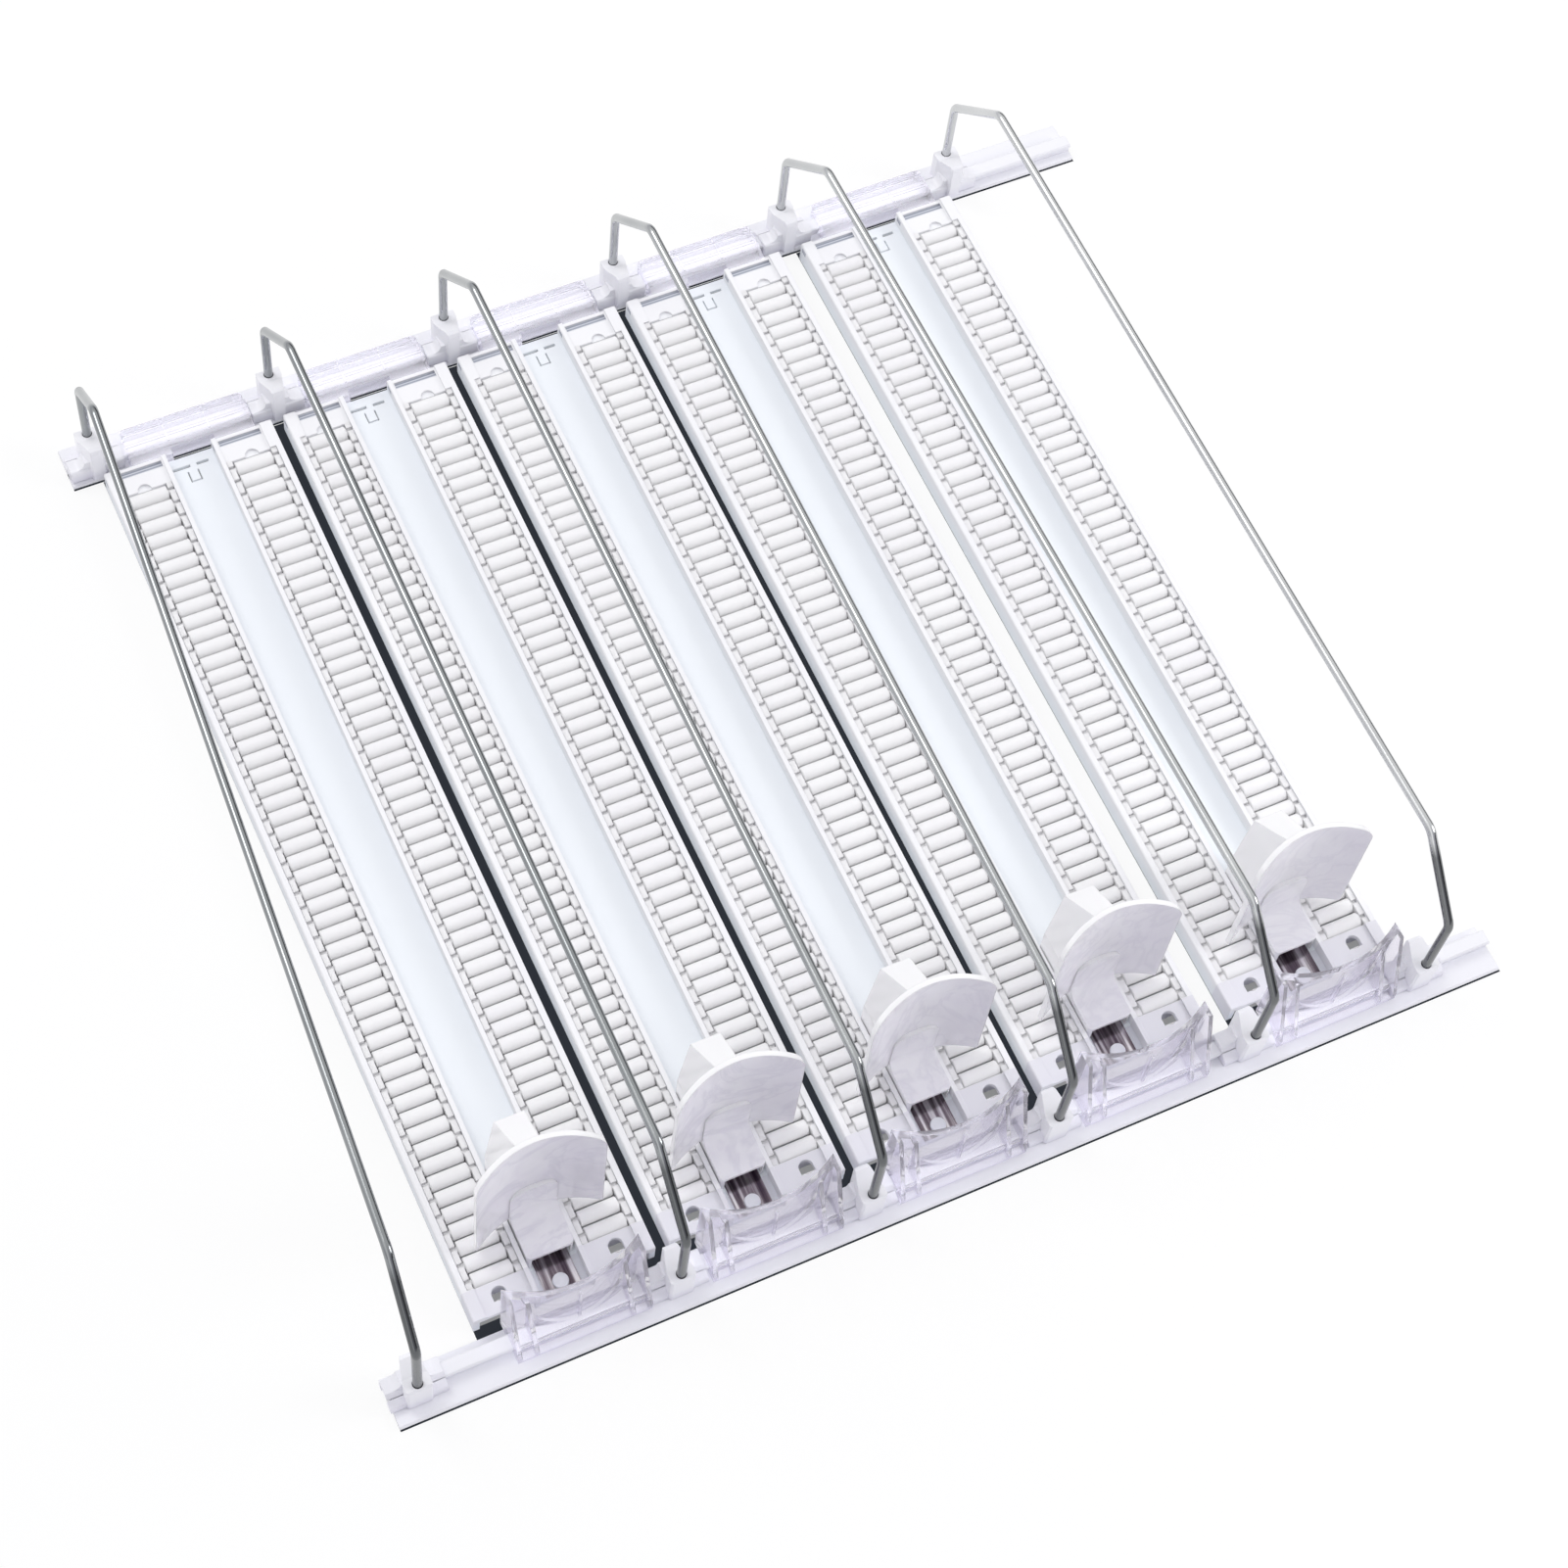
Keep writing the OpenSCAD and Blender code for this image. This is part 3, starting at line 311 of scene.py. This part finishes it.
def spring_steel():
    """Rolled spring band: mirror-like and dark; its bright streaks along the rolling are painted
    reflections.
    """
    b = Build("spring_steel")
    streaks = b.noise(scale=700.0, rough=0.6, axes=(1.0, 0.02, 1.0))
    broad = b.noise(scale=330.0, detail=2.0, axes=(1.0, 0.05, 1.0), distortion=0.5)
    # The bright end of this ramp is a painted reflection along the rolling streaks
    colour = b.ramp(b.mix(0.65, streaks, broad),
                    [(0.40, (0.07, 0.05, 0.07)), (0.52, (0.22, 0.18, 0.21)),
                     (0.62, (0.75, 0.72, 0.76))])
    rough = b.value_range(streaks, first=0.10, last=0.22)
    p = b.principled(Base_Color=colour, Metallic=1.0, Roughness=rough,
                     Normal=b.bump(streaks, strength=0.2, distance=0.00002))
    return b.done(p.outputs["BSDF"])


# Pale blue painted shade for the deep parts of the tracks
DEPTH_SHADE_TONE = (0.905, 0.945, 0.992)
ROLLER_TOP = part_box("roller_strip_1_left")[1][2]
FRONT_END, BACK_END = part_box("track_1")[0][1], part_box("track_1")[1][1]
# Two stretches along Y at the tracks' ends, painted with the shade of fine
# ribs and with the shade of pusher and stop, and the heights over which the
# rollers turn from their own colour to a lighter lower one, painted light on
# their shaded sides.
RIB_SHADE_SPAN = (BACK_END - 0.0044, BACK_END - 0.0012)
SHADED = (FRONT_END, FRONT_END + 0.0108)
ROLLER_SIDE_LIGHTENING = (ROLLER_TOP - 0.0003, ROLLER_TOP - 0.0022)
MATS = {
    "rail_white": moulded("rail_white", (0.92, 0.92, 0.95), (0.87, 0.87, 0.91),
                          (0.87, 0.87, 0.92)),
    "track_white": moulded("track_white", (0.94, 0.94, 0.96), (0.90, 0.90, 0.935), DEPTH_SHADE_TONE,
                           flat=0.45, band=RIB_SHADE_SPAN, front=SHADED),
    "roller_white": moulded("roller_white", (0.94, 0.935, 0.955), (0.89, 0.88, 0.915),
                            (0.985, 0.98, 0.99), rough=0.42, bevel=0.0001, flat=0.6,
                            milk=0.6, painted_tone_heights=ROLLER_SIDE_LIGHTENING),
    "pusher_white": milky(),
    "clip_white": moulded("clip_white", (0.93, 0.93, 0.96), (0.87, 0.87, 0.92),
                          (0.82, 0.81, 0.89), rough=0.32, bevel=0.0002),
    "clear_plastic": clear_plastic("clear_plastic", ior=1.28, clearness=0.88,
                                   stops=[(0.0, (0.99, 0.985, 0.995)),
                                          (0.5, (0.935, 0.92, 0.975)),
                                          (0.92, (0.60, 0.565, 0.72))]),
    "spring_steel": spring_steel(),
    "wire_steel": steel_wire(),
}

# The rear clips lie on the white rail and are a little milkier than the stops.
REAR_CLIP = clear_plastic("clear_plastic_rear", ior=1.22, clearness=0.82,
                          stops=[(0.0, (0.97, 0.965, 0.985)), (0.6, (0.90, 0.89, 0.95)),
                                 (0.95, (0.68, 0.66, 0.80))])

SLOTS = {s["node"]: s["material_slot"] for s in frame["record"]["subparts"]}
for name, obj in NODES.items():
    mat = REAR_CLIP if name.startswith("rear_clip") else MATS[SLOTS[name]]
    if not obj.material_slots:
        obj.data.materials.append(mat)
    for slot in obj.material_slots:
        slot.material = mat


# Camera

FOCAL_PX = 3376.61
IMAGE_PX = 1601
SENSOR_MM = 36.0
ANGLES = (-33.71, 61.98, 9.85)  # azimuth, elevation and roll in degrees
EYE = Vector((-0.32450, -0.51023, 1.07815))


def make_camera():
    az, el, roll = (math.radians(v) for v in ANGLES)
    back = Vector((math.sin(az) * math.cos(el), -math.cos(az) * math.cos(el), math.sin(el)))
    right = Vector((0, 0, 1)).cross(back).normalized()
    up = back.cross(right)
    cam_right = right * math.cos(roll) + up * math.sin(roll)
    cam_up = up * math.cos(roll) - right * math.sin(roll)
    cam = bpy.data.cameras.new("camera")
    cam.sensor_width = SENSOR_MM
    cam.lens = FOCAL_PX / IMAGE_PX * SENSOR_MM
    cam.clip_start = 0.01
    obj = bpy.data.objects.new("camera", cam)
    bpy.context.scene.collection.objects.link(obj)
    rot = Matrix((cam_right, cam_up, back)).transposed()
    obj.matrix_world = Matrix.Translation(EYE) @ rot.to_4x4()
    bpy.context.scene.camera = obj


make_camera()


# Studio

def area(name, place, target, size, watts):
    lamp = bpy.data.lights.new(name, "AREA")
    lamp.shape = "DISK"
    lamp.size = size
    lamp.energy = watts
    obj = bpy.data.objects.new(name, lamp)
    bpy.context.scene.collection.objects.link(obj)
    obj.location = place
    aim = (Vector(target) - Vector(place)).to_track_quat("-Z", "Y")
    obj.rotation_euler = aim.to_euler()


# The painted shade on the floor: its reach past a piece's right side and past a
# rail's front, its reach past a track's ends (CONTACT less at the back), the
# widest gap that it fills and the rim of a track's outline where it stays full,
# all in metres, its colour and its share under the tracks and for indirect light.
CONTACT = 0.0006
END_SHADE = 0.0036
NARROW = 0.006
EDGE = 0.001
SLATE_SHADE = (0.030, 0.034, 0.043)
IN_HOLES = 0.72
INDIRECT = 0.2

WHITE = (1.0, 1.0, 1.0)
FLOOR_SIZE = 12.0
FLOOR_DROP = 0.0004
FLOOR_GLOW = 0.82
BACKDROP = (1.08, 1.08, 1.08)
DOME_STRENGTH = 0.92


def floor():
    """A pale floor that stays near white for the eye and keeps a soft shadow.
    As the photograph shows, it is painted with a slate shade under the rails and
    tracks and in the narrow gaps between neighbouring tracks, less so inside a
    track's outline, where the D-holes show it, and weakly for indirect light."""
    b = Build("studio_floor")
    pale = b.ramp(b.noise(scale=8.0, detail=2.0),
                  [(0.3, (0.95, 0.95, 0.955)), (0.7, (0.97, 0.97, 0.97))])
    place = b.place()
    boxes = [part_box(name) for name in [f"track_{i}" for i in LANES] + ["front_rail", "back_rail"]]
    # Where the floor is painted with slate shade, and the inner outlines of the tracks
    slate_shade = holes = 0.0
    for k, (low, high) in enumerate(boxes):
        is_track = k < len(LANES)
        right = high[0] + CONTACT
        if k < len(LANES) - 1:
            next_left = boxes[k + 1][0][0]
            if next_left - right < NARROW:
                right = next_left
        ends = END_SHADE if is_track else CONTACT
        under = b.math("MULTIPLY", b.within(place["X"], low[0], right),
                       b.within(place["Y"], low[1] - ends, high[1] + ends - CONTACT))
        slate_shade = b.math("MAXIMUM", slate_shade, under)
        if is_track:
            inside = b.math("MULTIPLY", b.within(place["X"], low[0] + EDGE, high[0] - EDGE),
                            b.within(place["Y"], low[1] + EDGE, high[1] - EDGE))
            holes = b.math("MAXIMUM", holes, inside)
    path = b.node("LightPath")
    slate_shade = b.math("MULTIPLY", slate_shade, b.value_range(holes, first=1.0, last=IN_HOLES))
    slate_shade = b.math("MULTIPLY", slate_shade,
                  b.value_range(path.outputs["Is Camera Ray"], first=INDIRECT, last=1.0))
    p = b.principled(Base_Color=b.mix(slate_shade, pale, SLATE_SHADE), Roughness=0.95, Specular_IOR_Level=0.1)
    glow = b.node("Emission")
    b.link(b.mix(slate_shade, WHITE, SLATE_SHADE), glow.inputs["Color"])
    seen = b.math("MAXIMUM", path.outputs["Is Camera Ray"],
                  b.math("MAXIMUM", path.outputs["Is Glossy Ray"],
                         path.outputs["Is Transmission Ray"]))
    both = b.node("MixShader")
    b.link(b.math("MULTIPLY", seen, FLOOR_GLOW), both.inputs["Fac"])
    b.link(p.outputs["BSDF"], both.inputs[1])
    b.link(glow.outputs["Emission"], both.inputs[2])
    b.done(both.outputs["Shader"])
    bpy.ops.mesh.primitive_grid_add(x_subdivisions=8, y_subdivisions=8, size=FLOOR_SIZE,
                                    location=(0, 0, -FLOOR_DROP))
    plane = bpy.context.object
    plane.name = "studio_floor"
    plane.data.materials.append(b.owner)


def world():
    """Soft white dome, dimmer in front and cooler low down, and plain white for
    the camera and through clear parts. What surfaces mirror has a dark flag low
    on the right and a bright strip on the left."""
    b = Build("studio", "World")
    bpy.context.scene.world = b.owner
    coord = b.node("TexCoord")
    split = b.node("SeparateXYZ")
    b.link(coord.outputs["Generated"], split.inputs[0])
    dome = b.ramp(split.outputs["Z"], [(0.02, (0.80, 0.80, 0.85)), (0.6, WHITE)])
    front = b.smooth(split.outputs["Y"], -0.75, 0.1, first=0.62, last=0.0)
    dome = b.mix(front, dome, (0.36, 0.35, 0.42))
    right = b.smooth(split.outputs["X"], 0.15, 0.55)
    low = b.smooth(split.outputs["Z"], 0.25, 0.60, first=1.0, last=0.0)
    path = b.node("LightPath")
    flag = b.math("MULTIPLY", b.math("MULTIPLY", right, low), path.outputs["Is Glossy Ray"])
    colour = b.mix(flag, dome, (0.03, 0.03, 0.035))
    strip = b.math("MULTIPLY", b.smooth(split.outputs["X"], -0.80, -0.66),
                   b.smooth(split.outputs["X"], -0.30, -0.16, first=1.0, last=0.0))
    strip = b.math("MULTIPLY", strip,
                   b.smooth(split.outputs["Y"], 0.36, 0.52, first=1.0, last=0.0))
    strip = b.math("MULTIPLY", strip, path.outputs["Is Glossy Ray"])
    colour = b.mix(strip, colour, (1.35, 1.35, 1.35))
    seen = b.math("MAXIMUM", path.outputs["Is Camera Ray"], path.outputs["Is Transmission Ray"])
    colour = b.mix(seen, colour, BACKDROP)
    back = b.node("Background")
    back.inputs["Strength"].default_value = DOME_STRENGTH
    b.link(colour, back.inputs["Color"])
    b.done(back.outputs["Background"])


floor()
world()
area("key", place=(-0.7, 1.1, 1.7), target=(0, 0, 0), size=1.0, watts=9)
area("fill", place=(1.4, -0.7, 0.9), target=(0, -0.1, 0), size=0.8, watts=9)
bpy.context.scene.view_settings.view_transform = "Standard"
